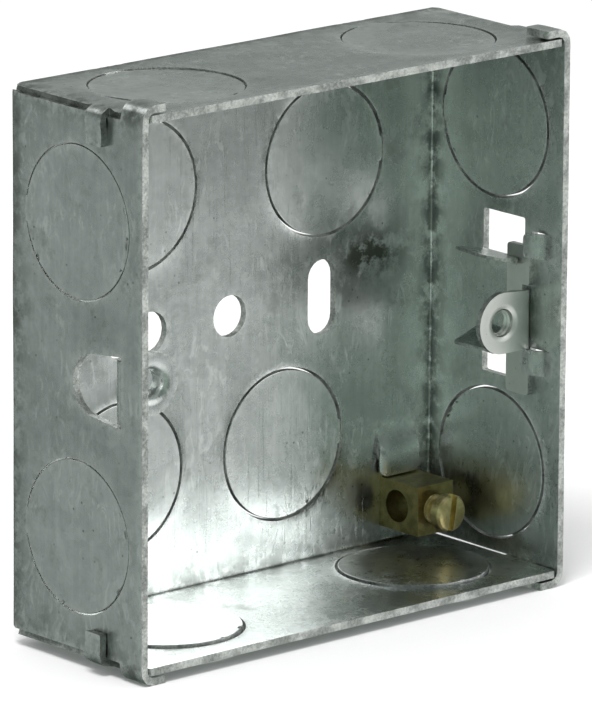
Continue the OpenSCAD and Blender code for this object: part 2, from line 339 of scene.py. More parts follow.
def collar_profile(r, bend):
    """Radius and depth of the collar's middle surface, from the flat radius r."""
    q = COLLAR_MID + bend - r
    if q <= 0:
        return r, 0
    if q < bend * QUARTER:
        return COLLAR_MID + bend - bend * math.sin(q / bend), bend * (1 - math.cos(q / bend))
    return COLLAR_MID, bend + q - bend * QUARTER


def collar_flat_r(bend, depth):
    return COLLAR_MID + bend - bend * QUARTER - (depth - bend)


def drawn(cx, cy, p, bend):
    """The point p of a plate after its collar is drawn: place in the plate, and depth."""
    dx, dy = p[0] - cx, p[1] - cy
    r = math.hypot(dx, dy)
    new, depth = collar_profile(r, bend)
    k = new / r if r > 0 else 1
    return cx + dx * k, cy + dy * k, depth


# ---------------------------------------------------------------- solid sheet pieces


SEAM_X, SEAM_Z = 34.8, 30.0                   # beyond these a corner seam gets painted shade
GRIME_REACH = 1.8                             # how far dirt spreads from an inner corner


def dirt_and_shade_at(co):
    """How much to darken: dirt in the inner corners, a painted dark reflection beside the tall slot, and
    painted shade along the sliding strip.
    """
    x, y, z = (max(gap, 0) for gap in (MID - abs(co.x), -SHEET - co.y, MID - abs(co.z)))
    corner = math.exp(-min(math.hypot(x, y), math.hypot(y, z), math.hypot(x, z)) / GRIME_REACH)
    if co.y > -BEND:
        # Painted dark reflection on the back wall beside the tall slot.
        return max(corner, 1.7 * math.exp(-((co.x - SLOT_REFLECTION_X) / 6) ** 2 - ((co.z - SLOT_REFLECTION_Z) / 3.5) ** 2))
    # Painted shade on the right wall just in front of the sliding strip.
    strip_shade = co.x > 35.6 and STRIP_LOW < co.z < STRIP_HIGH
    return max(corner, math.exp(-abs(co.y - LUG_Y + 0.3) / 0.8)) if strip_shade else corner


def seam_shade_at(p, co):
    """How much painted shade the edges of the top and bottom walls get along the corner seams, behind the
    ears.
    """
    flap = abs(p[1]) > abs(p[0]) and abs(co.x) > SEAM_X and abs(co.z) > SEAM_Z
    if not flap or co.y < FRONT + EAR_DEPTH - 0.05:
        return 0
    return 0 if co.z < 0 and co.y > TAB_Y[1] else 0.6


class Patchwork:
    """Flat patches folded into one welded middle surface, then given their thickness."""

    def __init__(self):
        self.bm = bmesh.new()
        self.edge = self.bm.verts.layers.float.new("edge")
        self.thin = self.bm.verts.layers.float.new("thin")
        self.dirt_and_shade = self.bm.verts.layers.float.new("dirt_and_shade")
        self.seam = self.bm.verts.layers.float.new("seam")

    def add(self, patch, place, thin=None):
        flat, faces, depth = patch
        made = []
        for p, d in zip(flat, depth):
            v = self.bm.verts.new(place(p))
            v[self.edge] = math.exp(-d / 0.55)
            v[self.thin] = thin(p) if thin else 1
            v[self.dirt_and_shade] = dirt_and_shade_at(v.co)
            v[self.seam] = seam_shade_at(p, v.co)
            made.append(v)
        for f in faces:
            self.bm.faces.new([made[i] for i in f])

    def surface(self, eye):
        """Welds the patches, with their normals towards the point eye."""
        bmesh.ops.remove_doubles(self.bm, verts=self.bm.verts, dist=0.02)
        bmesh.ops.recalc_face_normals(self.bm, faces=self.bm.faces)
        self.bm.normal_update()
        facing = sum(f.calc_area() * f.normal.dot(eye - f.calc_center_median()) for f in self.bm.faces)
        if facing < 0:
            bmesh.ops.reverse_faces(self.bm, faces=self.bm.faces)
            self.bm.normal_update()

    def push(self, amount):
        """Moves each vertex along its normal by amount(vertex)."""
        moves = [(v, v.normal.copy(), amount(v)) for v in self.bm.verts]
        for v, n, d in moves:
            v.co += n * d

    def piece(self, name, materials, thickness=SHEET, bevel=0.15):
        mesh = bpy.data.meshes.new(name)
        bmesh.ops.scale(self.bm, vec=(MM, MM, MM), verts=self.bm.verts)
        self.bm.to_mesh(mesh)
        self.bm.free()
        for m in materials:
            mesh.materials.append(m)
        obj = link(name, mesh)
        group = obj.vertex_groups.new(name="thickness")
        for i, a in enumerate(mesh.attributes["thin"].data):
            group.add([i], a.value, "REPLACE")
        solid = obj.modifiers.new("thickness", "SOLIDIFY")
        solid.thickness = thickness * MM
        solid.offset = 0
        solid.use_even_offset = True
        solid.vertex_group = "thickness"
        solid.material_offset_rim = 1
        soften(obj, bevel)
        return settle(obj)


def link(name, mesh):
    obj = bpy.data.objects.new(name, mesh)
    bpy.context.scene.collection.objects.link(obj)
    return obj


def soften(obj, width, angle=40, segments=2):
    bevel = obj.modifiers.new("soft_edges", "BEVEL")
    bevel.width = width * MM
    bevel.segments = segments
    bevel.limit_method = "ANGLE"
    bevel.angle_limit = math.radians(angle)
    bevel.harden_normals = True


def settle(obj):
    """Applies the modifiers, so that the piece is one final mesh."""
    for f in obj.data.polygons:
        f.use_smooth = True
    bpy.context.view_layer.update()
    graph = bpy.context.evaluated_depsgraph_get()
    mesh = bpy.data.meshes.new_from_object(obj.evaluated_get(graph), depsgraph=graph)
    old = obj.data
    obj.modifiers.clear()
    obj.data = mesh
    bpy.data.meshes.remove(old)
    mesh.name = obj.name
    return obj


def join(name, pieces):
    """One object from several."""
    with bpy.context.temp_override(active_object=pieces[0], selected_editable_objects=pieces,
                                   selected_objects=pieces):
        bpy.ops.object.join()
    pieces[0].name = name
    pieces[0].data.name = name
    return pieces[0]


def waviness(v, seed, size=16.0, height=0.09):
    """Gentle unevenness of a pressed sheet, nearly all of it to the inner side."""
    n = noise.noise(v.co / size + Vector((seed, 0, 0)))
    fine = noise.noise(v.co / (size * 0.35) + Vector((0, seed, 0)))
    return height * (0.5 + 0.5 * n + 0.18 * fine)


# ---------------------------------------------------------------- the box's sheet


def tab_end(side):
    return TAB_BEND_X + TAB_BEND_MID * QUARTER + TAB_LENGTHS[side]


def side_arm(s):
    """Outline corners of a side wall on the blank, anticlockwise; s is 1 at the right."""
    rear = blank_u(FRONT + EAR_DEPTH)
    half = [(SEAM, -SEAM, 0), (SEAM + 0.5, -SIDE_EDGE, 0), (rear, -SIDE_EDGE, 0.3), (rear, -EAR_END, 0.5),
            (WALL_END, -EAR_END, 0.5)]
    half += [(x, -y, c) for x, y, c in reversed(half)]
    return [(s * x, s * y, c) for x, y, c in half]


def flap_edge(s, winged):
    """One side edge of the top wall (s is 1) or the bottom wall, from the back to the front."""
    tab_out, tab_in = blank_u(TAB_Y[0]), blank_u(TAB_Y[1])
    wing = blank_u(WING_Y)
    end = tab_end(s)
    edge = [(SEAM, SEAM + 0.9, 0), (WING_X, SEAM + 1.5, 0.3)] if winged else [(SEAM, SEAM, 0)]
    side = WING_X if winged else SEAM
    return edge + [(side, tab_in, 0.2), (end, tab_in, 0.3), (end, tab_out, 0.3), (WING_X, tab_out, 0.2),
                   (WING_X, wing, 0.4), (SEAM, wing, 0.3), (SEAM, WALL_END, 0.4)]


def flap_arm(s):
    """The same as side_arm for the top wall (s is 1) and the bottom wall."""
    corners = flap_edge(s, True)
    corners += [(-x, y, c) for x, y, c in reversed(flap_edge(s, s > 0))]
    return [(s * x, s * y, c) for x, y, c in corners]


def blank_outline():
    corners = side_arm(1) + flap_arm(1) + side_arm(-1) + flap_arm(-1)
    return divided(rounded(corners))


def knockout_places():
    """Name, centre on the blank, and the angle of the tie web, for every knockout."""
    u = blank_u(WALL_KNOCKOUT_Y)
    out = [(f"back_knockout_{i + 1}", p, 0 if p[0] > 0 else 180) for i, p in enumerate(BACK_KNOCKOUTS)]
    for i, s in enumerate((1, -1)):
        out.append((f"left_knockout_{i + 1}", (-u, s * LEFT_Z), 0))
        out.append((f"right_knockout_{i + 1}", (u, s * RIGHT_Z), 180))
        out.append((f"top_knockout_{i + 1}", (-s * FLAP_X, u), -90))
        out.append((f"bottom_knockout_{i + 1}", (-s * FLAP_X, -u), 90))
    return out


def left_window():
    """The opening that the fixed lug leaves, on the blank."""
    front, rear = -blank_u(FOLD_Y), -blank_u(WINDOW_END_Y)
    mid = rear - LUG_R
    corners = [(front, -WINDOW_HALF, 0.25), (mid, -LUG_R, 0)]
    curve = [(x, y, 0) for x, y in arc(mid, 0, LUG_R, -90, 90, 14)]
    corners += curve[1:-1] + [(mid, LUG_R, 0), (front, WINDOW_HALF, 0.25)]
    corners += [(front, LUG_R, 0), (front, -LUG_R, 0)]
    return divided(rounded(corners))


def rectangle(x0, x1, y0, y1, r=0.0):
    return rounded([(x0, y0, r), (x1, y0, r), (x1, y1, r), (x0, y1, r)])


def bay(s):
    """Window of the right wall, above (s is 1) or below mid-height."""
    front, rear, notch = blank_u(BAY_Y[0]), blank_u(BAY_Y[1]), blank_u(FIN_NOTCH_Y)
    r = 0.35
    corners = [(front, s * FIN_FOOT, r), (notch, s * FIN_FOOT, 0), (rear, s * FIN_FOOT, 0),
               (rear, s * BAY_END, r), (front, s * BAY_END, r)]
    return divided(rounded(corners))


def strap_hole(s):
    low, high = STRAP_HOLE_Z
    return divided(rectangle(blank_u(STRAP_END_Y), blank_u(STRAP_Y), s * low, s * high))


def tongue_hole():
    x0, x1 = TONGUE_X
    corners = [(x0, TONGUE_TOP, 0), (x1, TONGUE_TOP, 0), (x1 + 0.1, TONGUE_END - 0.5, 0.3),
               (x0 + 0.9, TONGUE_END - 0.5, 0.3), (x0 + 0.9, TONGUE_RAMP + 0.5, 0)]
    return divided(rounded(corners), 0.6)


def shell_patch():
    holes = [ring(*p, HOLE_R) for _, p, _ in knockout_places()]
    holes += [ring(0, 0, CENTRE_HOLE_R, 0.7), ring(TERMINAL_X, TERMINAL_Z, 1.6, 0.5)]
    holes += [slot_outline(SLOT_X, 0, TALL_SLOT), slot_outline(-SLOT_X, 0, WIDE_SLOT)]
    holes = [divided(h) for h in holes]
    holes += [left_window(), bay(1), bay(-1), strap_hole(1), strap_hole(-1), tongue_hole()]
    rings = []
    for grow in (0.4, 0.95, 1.8):
        for _, p, _ in knockout_places():
            rings += ring(*p, HOLE_R + grow)
        rings += ring(0, 0, CENTRE_HOLE_R + grow, 0.8)
    bends = []
    span = steps_between(-SEAM, SEAM, 1.3)
    for s in (1, -1):
        edge = [s * u for u in steps_between(SEAM, WALL_END, 1)]
        bends += rows(steps_between(EDGE_ROLL_X, WING_X, 0.3), edge)
        bends += rows(steps_between(-WING_X, -EDGE_ROLL_X, 0.3), edge)
        turn = [s * (SEAM + BEND_RUN * k / 6) for k in range(7)]
        bends += rows(turn, span) + rows(span, turn)
        across = steps_between(blank_u(FRONT), blank_u(FRONT + EAR_DEPTH), 0.9)
        turn = [EAR_BEND_Z + EAR_BEND_MID * QUARTER * k / 8 for k in range(9)]
        bends += [(s * u, t * w) for u in across[1:-1] for w in turn for t in (1, -1)]
        across = steps_between(blank_u(TAB_Y[0]), blank_u(TAB_Y[1]), 0.75)
        turn = [TAB_BEND_X + TAB_BEND_MID * QUARTER * k / 6 for k in range(7)]
        bends += [(t * w, s * u) for u in across[1:-1] for w in turn for t in (1, -1)]
    field = rows(steps_between(-WALL_END, WALL_END, 1.6), steps_between(-WALL_END, WALL_END, 1.6))
    return triangulate(blank_outline(), holes, [(rings, 0.3), (bends, 0.18), (field, 0.85)])


def fixed_lug_patch():
    start = FOLD_MID * QUARTER
    axis = start + FOLD_X - LUG_X
    corners = [(0, -LUG_R, 0), (axis, -LUG_R, 0)]
    corners += [(x, y, 0) for x, y in arc(axis, 0, LUG_R, -90, 90, 16)[1:-1]]
    corners += [(axis, LUG_R, 0), (0, LUG_R, 0)]
    hole = ring(axis, 0, collar_flat_r(FIXED_MOUTH, SHEET / 2 + COLLAR_L), 0.16)
    turn = rows([start * k / 8 for k in range(1, 9)], steps_between(-LUG_R, LUG_R, 0.8)[1:-1])
    rings = [p for r in (1.2, 1.5, 1.75, 2.0, 2.25, 2.5, 2.75, 3.0, 3.5) for p in ring(axis, 0, r, 0.35)]
    patch = triangulate(divided(rounded(corners), 0.83), [hole], [(rings, 0.12), (turn, 0.25)])

    def place(p):
        s, z, depth = drawn(axis, 0, p, FIXED_MOUTH)
        if s < start:
            t = s / FOLD_MID
            return (-FOLD_X - FOLD_MID * math.cos(t), FOLD_Y + FOLD_MID * math.sin(t), z)
        return (-FOLD_X + s - start, FOLD_Y + FOLD_MID + depth, z)

    def thin(p):
        r = math.hypot(p[0] - axis, p[1])
        return 1 - (1 - COLLAR_T / SHEET) * ease((3.0 - r) / 1.2)

    return patch, place, thin


def strap_patch(s):
    length = STRAP_END_Y - STRAP_Y
    wide = STRAP_Z[1] - STRAP_Z[0] + 0.2
    corners = [(0, -wide / 2, 0), (0, wide / 2, 0), (length, wide / 2 - 0.1, 0.5),
               (length, -wide / 2 + 0.1, 0.5)]
    inner = rows(steps_between(0, length, 0.35)[1:-1], steps_between(-wide / 2, wide / 2, 0.4)[1:-1])
    patch = triangulate(divided(rounded(corners), 0.4), [], [(inner, 0.15)])
    middle = s * (STRAP_Z[0] + STRAP_Z[1]) / 2

    def place(p):
        run = min(1, p[0] / (STRAP_RAMP_Y - STRAP_Y))
        k = 0.75 * run + 0.25 * ease(run)
        dome = 0.22 * k * (1 - (2 * p[1] / wide) ** 2)
        return (MID - (MID - STRAP_X) * k - dome, STRAP_Y + p[0], middle + s * p[1])

    def thin(p):
        return 1 - (1 - THIN) * ease(p[0] / 1.2)

    return patch, place, thin


def fin_patch(s):
    turn = math.pi / 2 - FIN_LEAN
    start = FIN_BEND * turn
    foot_x = MID - FIN_BEND + FIN_BEND * math.cos(turn)
    foot_z = FIN_FOOT + FIN_BEND * math.sin(turn)
    tip = start + (foot_x - FIN_TIP) / math.cos(FIN_LEAN)
    notch = start + (foot_x - FIN_NOTCH_X) / math.cos(FIN_LEAN)
    front, rear = BAY_Y
    corners = [(0, FIN_NOTCH_Y, 0), (notch, FIN_NOTCH_Y, 0.3), (notch, front, 0.3), (tip, front, 0.5),
               (tip, rear, 0.5), (0, rear, 0)]
    inner = rows([start * k / 6 for k in range(1, 7)], steps_between(front, rear, 1.0)[1:-1])
    inner += rows(steps_between(start, tip, 1.0)[1:-1], steps_between(front, rear, 1.0)[1:-1])
    patch = triangulate(divided(rounded(corners)), [], [(inner, 0.18)])

    def place(p):
        q, y = p
        curl = 0.12 * ease((q - start) / (tip - start)) * math.sin((y - front) * 0.5)
        if q < start:
            t = q / FIN_BEND
            return (MID - FIN_BEND + FIN_BEND * math.cos(t), y, s * (FIN_FOOT + FIN_BEND * math.sin(t)))
        run = q - start
        return (foot_x - run * math.cos(FIN_LEAN), y, s * (foot_z + run * math.sin(FIN_LEAN) - curl))

    def thin(p):
        return 1 - 0.62 * ease((p[0] - start) / (tip - start))

    return patch, place, thin


def tongue_patch():
    x0, x1 = TONGUE_X
    mid = (x0 + x1) / 2
    wide = x1 - x0
    corners = [(x0, TONGUE_TOP, 0), (x0 + 0.15, TONGUE_END, 1.0), (x1 - 0.15, TONGUE_END, 1.0),
               (x1, TONGUE_TOP, 0)]
    inner = rows(steps_between(x0, x1, 0.6)[1:-1], steps_between(TONGUE_END, TONGUE_TOP, 0.5)[1:-1])
    patch = triangulate(divided(rounded(corners, 6), 0.6), [], [(inner, 0.2)])

    def place(p):
        k = ease((TONGUE_TOP - p[1]) / (TONGUE_TOP - TONGUE_RAMP))
        dome = 0.14 * k * (1 - (2 * (p[0] - mid) / wide) ** 2)
        curl = 0.35 * k ** 12 * max(0, (x0 + 0.8 - p[0]) / 0.8) ** 2
        return (p[0], -SHEET / 2 + (TONGUE_Y + SHEET / 2) * k - dome + curl, p[1])

    def thin(p):
        return 1 - (1 - THIN) * ease((TONGUE_TOP - p[1]) / 1.5)

    return patch, place, thin


def near_knockouts(v, places):
    """How much a vertex shares in the dished edge of the nearest knockout hole."""
    gap = min((v.co - c).length for c in places) - HOLE_R
    return math.exp(-max(gap, 0) / 0.8)


INSIDE = Vector((0, FRONT / 2, 0))


def make_shell(skin, cut):
    work = Patchwork()
    work.add(shell_patch(), folded)
    for patch, place, thin in (fixed_lug_patch(), strap_patch(1), strap_patch(-1), fin_patch(1),
                               fin_patch(-1), tongue_patch()):
        work.add(patch, place, thin)
    work.surface(INSIDE)
    places = [Vector(folded(p)) for _, p, _ in knockout_places()]
    work.push(lambda v: waviness(v, 3.1) + 0.2 * near_knockouts(v, places))
    for v in work.bm.verts:
        if v.co.y < FRONT + 0.02:
            v.co.y += 0.03 + 0.05 * abs(noise.noise(v.co * 0.7)) + 0.03 * abs(noise.noise(v.co * 2.1))
    shell = work.piece("box_shell_sheet", [skin, cut])
    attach(shell, "box")
    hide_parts("box_shell")


def make_knockouts(skin, cut):
    for i, (name, centre, tie) in enumerate(knockout_places()):
        cx, cy = centre
        half = math.degrees(math.asin(TIE / 2 / BLANK_R))
        outline = arc(cx, cy, BLANK_R, tie + half, tie + 360 - half, 66)
        outline += arc(cx, cy, HOLE_R + 0.02, tie - half, tie + half, 6)
        rings = [p for r in (9.85, 9.4, 8.6) for p in ring(cx, cy, r)]
        field = rows(steps_between(cx - BLANK_R, cx + BLANK_R, 1.4),
                     steps_between(cy - BLANK_R, cy + BLANK_R, 1.4))
        work = Patchwork()
        work.add(triangulate(outline, [], [(rings, 0.2), (field, 0.7)]), folded)
        middle = Vector(folded(centre))
        work.surface(INSIDE)
        push = PUSHES[name.split("_")[0]]
        hang = math.radians(HINGES.get(name, tie))
        hinge = Vector(folded((cx + HOLE_R * math.cos(hang), cy + HOLE_R * math.sin(hang))))

        def amount(v):
            away = (v.co - hinge).length
            edge = ease(((v.co - middle).length - 7.5) / 2.5)
            swell = 0.08 * (1 - edge) + waviness(v, i * 1.7, 9, 0.07)
            return 0.06 + (push - 0.06) * (0.35 * ease((away - 1.2) / 3) + 0.65 * away / (2 * HOLE_R)) + swell

        work.push(amount)
        blank = work.piece(name + "_blank", [skin, cut], bevel=0.2)
        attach(blank, "box")
        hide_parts(name)


# ---------------------------------------------------------------- the adjustable lug


def helix_ridge(name, material, r_root, r_crest, pitch, length, steps=28):
    """A V-shaped ridge winding along +Y from the origin, as a thread."""
    bm = bmesh.new()
    turns = length / pitch
    n = int(turns * steps)
    last = None
    for i in range(n + 1):
        t = 2 * math.pi * i / steps
        y = pitch * i / steps
        taper = min(1, i / (steps * 0.3), (n - i) / (steps * 0.3))
        crest = r_root + (r_crest - r_root) * taper
        c, s = math.cos(t), math.sin(t)
        profile = [(r_root, y - 0.42 * pitch), (crest, y - 0.05 * pitch), (crest, y + 0.05 * pitch),
                   (r_root, y + 0.42 * pitch)]
        now = [bm.verts.new((r * c, h, r * s)) for r, h in profile]
        if last:
            for k in range(3):
                bm.faces.new((last[k], last[k + 1], now[k + 1], now[k]))
            bm.faces.new((last[3], last[0], now[0], now[3]))
        else:
            bm.faces.new(now)
        last = now
    bm.faces.new(list(reversed(last)))
    bmesh.ops.recalc_face_normals(bm, faces=bm.faces)
    bmesh.ops.scale(bm, vec=(MM, MM, MM), verts=bm.verts)
    mesh = bpy.data.meshes.new(name)
    bm.to_mesh(mesh)
    bm.free()
    mesh.materials.append(material)
    return link(name, mesh)


def make_adjustable_lug(skin, cut):
    root = STRIP_ROOT
    start = root + STRIP_BEND * QUARTER
    axis = start + (STRIP_X - STRIP_BEND) - LUG_X
    low, high = STRIP_LOW - LUG_REST_Z, STRIP_HIGH - LUG_REST_Z
    slit = LUG_R + 0.2
    depth = STRIP_T / 2 + COLLAR_L
    corners = [(0, low, 0.5), (STRIP_W, low, 0.5), (STRIP_W, -slit, 0.4), (root, -slit, 0), (root, -LUG_R, 0),
               (axis, -LUG_R, 0)]
    corners += [(x, y, 0) for x, y in arc(axis, 0, LUG_R, -90, 90, 16)[1:-1]]
    corners += [(axis, LUG_R, 0), (root, LUG_R - LUG_TAPER, 0), (root, slit, 0), (STRIP_W, slit, 0.4),
                (STRIP_W, high, 0.5), (0, high, 0.5)]
    hole = ring(axis, 0, collar_flat_r(STRIP_MOUTH, depth), 0.16)
    rings = [p for r in (1.15, 1.45, 1.7, 1.95, 2.2, 2.45, 2.7, 3.3) for p in ring(axis, 0, r, 0.35)]
    turn = [root + (start - root) * k / 6 for k in range(7)]
    folds = rows(turn, steps_between(-LUG_R, LUG_R, 0.8)[1:-1])
    field = rows(steps_between(0, STRIP_W, 0.9), steps_between(low, high, 1.0))
    patch = triangulate(divided(rounded(corners), 0.8), [hole], [(rings, 0.12), (folds, 0.2), (field, 0.4)])
    rear = LUG_Y + STRIP_W
    bend_x, bend_y = STRIP_X - STRIP_BEND, rear - root

    def place(p):
        s, z, dip = drawn(axis, 0, p, STRIP_MOUTH)
        z += LUG_REST_Z
        if abs(p[1]) > LUG_R + 0.01 or s <= root:
            return (STRIP_X, rear - s, z)
        if s < start:
            t = (s - root) / STRIP_BEND
            return (bend_x + STRIP_BEND * math.cos(t), bend_y - STRIP_BEND * math.sin(t), z)
        return (bend_x - (s - start), bend_y - STRIP_BEND + dip, z)

    def thin(p):
        return 1 + (COLLAR_T / STRIP_T - 1) * ease((2.7 - math.hypot(p[0] - axis, p[1])) / 1.0)

    work = Patchwork()
    work.add(patch, place, thin)
    work.surface(INSIDE)
    lug = work.piece("adjustable_lug_plate", [skin, cut], STRIP_T, 0.1)
    thread = helix_ridge("lug_thread", skin, 1.78, 1.55, 0.6, 1.6)
    thread.location = Vector((LUG_X, LUG_Y + 0.35, LUG_REST_Z)) * MM
    lug = join("adjustable_lug_plate", [lug, thread])
    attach(lug, "adjustable_lug")
    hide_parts("adjustable_lug")


# ---------------------------------------------------------------- the earth terminal


def solid_box(name, low, high):
    mesh = bpy.data.meshes.new(name)
    bm = bmesh.new()
    bmesh.ops.create_cube(bm, size=1)
    low, high = Vector(low), Vector(high)
    for v in bm.verts:
        v.co = Vector((low[k] + (v.co[k] + 0.5) * (high[k] - low[k]) for k in range(3))) * MM
    bm.to_mesh(mesh)
    bm.free()
    return link(name, mesh)


def turned(name, profile, steps=48):
    """A solid turned about Y from (radius, y) points, the first and last on the axis."""
    bm = bmesh.new()
    loops = []
    for r, y in profile:
        if r == 0:
            loops.append([bm.verts.new((0, y, 0))] * steps)
        else:
            loops.append([bm.verts.new((r * math.cos(2 * math.pi * k / steps), y,
                                        r * math.sin(2 * math.pi * k / steps))) for k in range(steps)])
    for a, b in zip(loops, loops[1:]):
        for k in range(steps):
            corners = [a[k], b[k], b[(k + 1) % steps], a[(k + 1) % steps]]
            bm.faces.new(list(dict.fromkeys(corners)))
    bmesh.ops.recalc_face_normals(bm, faces=bm.faces)
    bmesh.ops.scale(bm, vec=(MM, MM, MM), verts=bm.verts)
    mesh = bpy.data.meshes.new(name)
    bm.to_mesh(mesh)
    bm.free()
    return link(name, mesh)


def combine(obj, tool, operation):
    """Boolean of obj with tool, which is then removed."""
    step = obj.modifiers.new(operation, "BOOLEAN")
    step.operation = operation
    step.object = tool
    step.solver = "EXACT"
    settle(obj)
    bpy.data.objects.remove(tool)


def bar(name, r, length, steps=48):
    return turned(name, [(0, 0), (r, 0), (r, length), (0, length)], steps)


def placed(obj, at, turn=None):
    obj.matrix_world = Matrix.Translation(Vector(at) * MM) @ (turn or Matrix.Identity(4))
    bpy.context.view_layer.update()
    return obj


def make_block(skin):
    x, z = TERMINAL_X, TERMINAL_Z
    left, right = x - BLOCK_W / 2, x + BLOCK_W / 2
    top, bottom = z + BLOCK_H / 2, z - BLOCK_H / 2
    block = solid_box("earth_terminal_body", (left, BLOCK_FRONT, bottom), (right, BLOCK_BACK, top))
    combine(block, solid_box("foot", (left, BLOCK_BACK - FOOT_T, z), (right, BLOCK_BACK, FOOT_TOP)), "UNION")
    wire = bar("wire", WIRE_R, BLOCK_W + 2 * THROUGH)
    combine(block, placed(wire, (left - THROUGH, WIRE_Y, z), Matrix.Rotation(-QUARTER, 4, "Z")), "DIFFERENCE")
    tapped = bar("tapped", SCREW_HOLE_R, WIRE_Y - BLOCK_FRONT + THROUGH)
    combine(block, placed(tapped, (x, BLOCK_FRONT - THROUGH, z)), "DIFFERENCE")
    spigot = bar("spigot", SPIGOT_R, SHEET + SPIGOT_ROOT)
    combine(block, placed(spigot, (x, BLOCK_BACK - SPIGOT_ROOT, z)), "UNION")
    block.data.materials.clear()
    block.data.materials.append(skin)
    soften(block, 0.16, 30, 3)
    settle(block)
    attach(block, "box")
    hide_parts("earth_terminal_block")


def make_screw(skin):
    x, z = TERMINAL_X, TERMINAL_Z
    c = 0.3
    head = turned("terminal_screw_turned", [
        (0, HEAD_FRONT), (HEAD_R - 0.9, HEAD_FRONT + 0.02), (HEAD_R - c, HEAD_FRONT + 0.14),
        (HEAD_R, HEAD_FRONT + 0.14 + c), (HEAD_R, HEAD_BACK - 0.15), (HEAD_R - 0.15, HEAD_BACK),
        (SHANK_R, HEAD_BACK), (SHANK_R, SCREW_TIP - 0.5),
        (1.3, SCREW_TIP - 0.1), (0.9, SCREW_TIP), (0, SCREW_TIP)])
    slot = solid_box("slot", (-0.5, HEAD_FRONT - 1, -4), (0.5, HEAD_FRONT + 1, 4))
    combine(head, placed(slot, (0, 0, 0), Matrix.Rotation(math.radians(8), 4, "Y")), "DIFFERENCE")
    head.data.materials.clear()
    head.data.materials.append(skin)
    soften(head, 0.08, 30, 2)
    settle(head)
    thread = helix_ridge("thread", skin, SHANK_R - 0.02, SCREW_R, THREAD_PITCH, SCREW_TIP - HEAD_BACK - 0.55)
    thread.location = Vector((0, HEAD_BACK + 0.25, 0)) * MM
    screw = join("terminal_screw_turned", [head, thread])
    screw.location = Vector((x, 0, z)) * MM
    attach(screw, "terminal_screw")
    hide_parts("earth_terminal_screw")


# ---------------------------------------------------------------- materials


COLOUR_A, COLOUR_B, COLOUR_OUT = 6, 7, 2       # the Mix node's colour sockets


class Nodes:
    """A node tree, built with short calls."""

    def __init__(self, tree):
        self.tree = tree

    def add(self, kind, **settings):
        node = self.tree.nodes.new("ShaderNode" + kind)
        for key, value in settings.items():
            setattr(node, key, value)
        return node

    def put(self, socket, value):
        if isinstance(value, bpy.types.NodeSocket):
            self.tree.links.new(value, socket)
        else:
            socket.default_value = value

    def vector(self, operation, a, b=None, c=None, scale=None):
        node = self.add("VectorMath", operation=operation)
        for socket, value in zip(node.inputs, (a, b, c, scale)):
            if value is not None:
                self.put(socket, value)
        return node.outputs["Value" if operation == "DOT_PRODUCT" else "Vector"]

    def math(self, operation, a, b=0.0, clamp=False):
        node = self.add("Math", operation=operation, use_clamp=clamp)
        self.put(node.inputs[0], a)
        self.put(node.inputs[1], b)
        return node.outputs[0]

    def blend(self, start, *parts):
        """The start and each (value, share) pair, added up."""
        total = start
        for value, share in parts:
            total = self.math("ADD", total, self.math("MULTIPLY", value, share))
        return total

    def spread(self, value, low, high):
        """0 below low, 1 above high, and a smooth step between."""
        node = self.add("MapRange", interpolation_type="SMOOTHSTEP")
        self.put(node.inputs["Value"], value)
        node.inputs["From Min"].default_value = low
        node.inputs["From Max"].default_value = high
        return node.outputs["Result"]

    def mix(self, factor, a, b):
        node = self.add("Mix", data_type="RGBA")
        self.put(node.inputs[0], factor)
        self.put(node.inputs[COLOUR_A], a)
        self.put(node.inputs[COLOUR_B], b)
        return node.outputs[COLOUR_OUT]

    def coat(self, colour, where, strength, over):
        """The colour with another over it, as far as the mask where says."""
        return self.mix(self.math("MULTIPLY", where, strength), colour, over)


class Paint(Nodes):
    """A material, with patterns in the object's own millimetres."""

    def __init__(self, name):
        self.material = bpy.data.materials.new(name)
        self.material.use_nodes = True
        super().__init__(self.material.node_tree)
        self.shader = self.tree.nodes["Principled BSDF"]
        self.mm = self.vector("SCALE", self.add("TexCoord").outputs["Object"], scale=1 / MM)

    def noise(self, size, detail=3.0, stretch=(1, 1, 1), rough=0.5, distortion=0.0):
        """Noise from 0 to 1, size in millimetres."""
        node = self.add("TexNoise")
        self.put(node.inputs["Vector"], self.vector("MULTIPLY", self.mm, tuple(s / size for s in stretch)))
        node.inputs["Scale"].default_value = 1
        node.inputs["Detail"].default_value = detail
        node.inputs["Roughness"].default_value = rough
        node.inputs["Distortion"].default_value = distortion
        return node.outputs["Fac"]

    def cells(self, size, output="Distance", warp=0.0):
        """Cells of a size in millimetres, their borders bent by warp."""
        at = self.vector("SCALE", self.mm, scale=1 / size)
        if warp:
            bend = self.add("TexNoise")
            self.put(bend.inputs["Vector"], at)
            bend.inputs["Scale"].default_value = 1.5
            at = self.vector("ADD", at, self.vector("SCALE", bend.outputs["Color"], scale=warp))
        node = self.add("TexVoronoi")
        self.put(node.inputs["Vector"], at)
        node.inputs["Scale"].default_value = 1
        return node.outputs[output]

    def along(self, axis):
        node = self.add("SeparateXYZ")
        self.put(node.inputs[0], self.mm)
        return node.outputs[axis]

    def attribute(self, name):
        return self.add("Attribute", attribute_name=name).outputs["Fac"]

    def finish(self, colour, roughness, height, distance, strength=1.0, metallic=1.0):
        self.put(self.shader.inputs["Base Color"], colour)
        self.put(self.shader.inputs["Roughness"], roughness)
        self.shader.inputs["Metallic"].default_value = metallic
        bump = self.add("Bump")
        bump.inputs["Strength"].default_value = strength
        bump.inputs["Distance"].default_value = distance * MM
        self.put(bump.inputs["Height"], height)
        self.put(self.shader.inputs["Normal"], bump.outputs["Normal"])
        return self.material


def rgb(r, g, b):
    return (r, g, b, 1.0)


# Dark for dirt, and for painted shade and a painted dark reflection.
DIRT_AND_SHADE = rgb(0.10, 0.11, 0.09)
SPECK = rgb(0.08, 0.085, 0.07)
SMUDGE = rgb(0.20, 0.21, 0.18)
